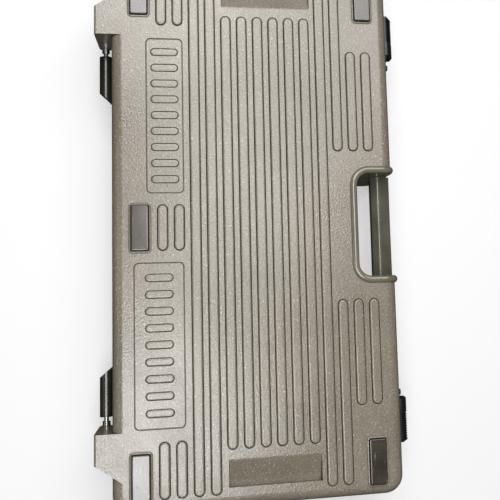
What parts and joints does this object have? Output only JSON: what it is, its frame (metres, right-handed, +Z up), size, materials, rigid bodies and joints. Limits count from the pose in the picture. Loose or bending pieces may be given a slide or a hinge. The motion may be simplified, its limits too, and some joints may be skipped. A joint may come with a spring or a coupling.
{
  "type": "pedalboard",
  "caption": "Hinged hard carrying case with ribbed plastic shells, a recessed front grip and slide latches, whose base holds effect pedals in foam bays.",
  "frame": {"origin": "centre of the footprint, on the plane that the rubber feet stand on", "axes": "+X along the case, -Y towards the handle, +Y towards the hinges, +Z up from the feet to the lid"},
  "size_m": [0.588, 0.343, 0.118],
  "materials": {
    "case_plastic": "beige-grey moulded case plastic with a fine pebble grain",
    "rim_plastic": "smooth beige-grey plastic with a soft gloss",
    "grip_plastic": "dark olive-black plastic with a soft gloss",
    "foot_rubber": "dark grey rubber",
    "black_plastic": "black plastic",
    "black_screws": "blackened steel screws",
    "latch_plastic": "black plastic with moulded grip grooves",
    "hinge_plastic": "glossy black plastic",
    "steel": "bright steel",
    "foam": "charcoal open-cell foam",
    "box_plastic": "black moulded box plastic",
    "cable": "black cable jacket"
  },
  "bodies": {
    "base": {"base_shell": "case_plastic", "handle_well": "rim_plastic", "well_screws": "steel", "handle_grip": "grip_plastic", "grip_screws": "steel", "front_left_foot": "foot_rubber", "front_right_foot": "foot_rubber", "rear_left_foot": "foot_rubber", "rear_center_foot": "foot_rubber", "rear_right_foot": "foot_rubber", "left_latch_guide": "black_plastic", "right_latch_guide": "black_plastic", "latch_guide_screws": "black_screws", "floor_pad": "foam", "pedal_foam": "foam", "rear_foam": "foam", "junction_box": "box_plastic", "junction_box_cover": "box_plastic", "cover_screws": "steel", "phone_jacks": "black_plastic", "jack_nuts": "steel", "power_socket": "black_plastic", "power_lead": "cable", "power_plugs": "cable"},
    "lid": {"lid_shell": "case_plastic", "lid_handle_well": "rim_plastic", "lid_well_screws": "steel", "lid_foam": "foam", "left_latch_stud": "steel", "right_latch_stud": "steel", "stud_nuts": "steel", "left_hinge_knuckle": "hinge_plastic", "right_hinge_knuckle": "hinge_plastic", "left_hinge_pin": "steel", "right_hinge_pin": "steel", "hinge_screws": "steel"},
    "left_latch": {"left_latch_slider": "latch_plastic"},
    "right_latch": {"right_latch_slider": "latch_plastic"}
  },
  "joints": [
    {"name": "lid_hinge", "type": "hinge", "parent": "base", "child": "lid", "pos_m": [0, 0.1645, 0.059], "axis": [-1, 0, 0], "range_deg": [0, 180]},
    {"name": "left_latch_slide", "type": "slide", "parent": "base", "child": "left_latch", "axis": [1, 0, 0], "range_m": [0, 0.009]},
    {"name": "right_latch_slide", "type": "slide", "parent": "base", "child": "right_latch", "axis": [1, 0, 0], "range_m": [0, 0.009]}
  ]
}
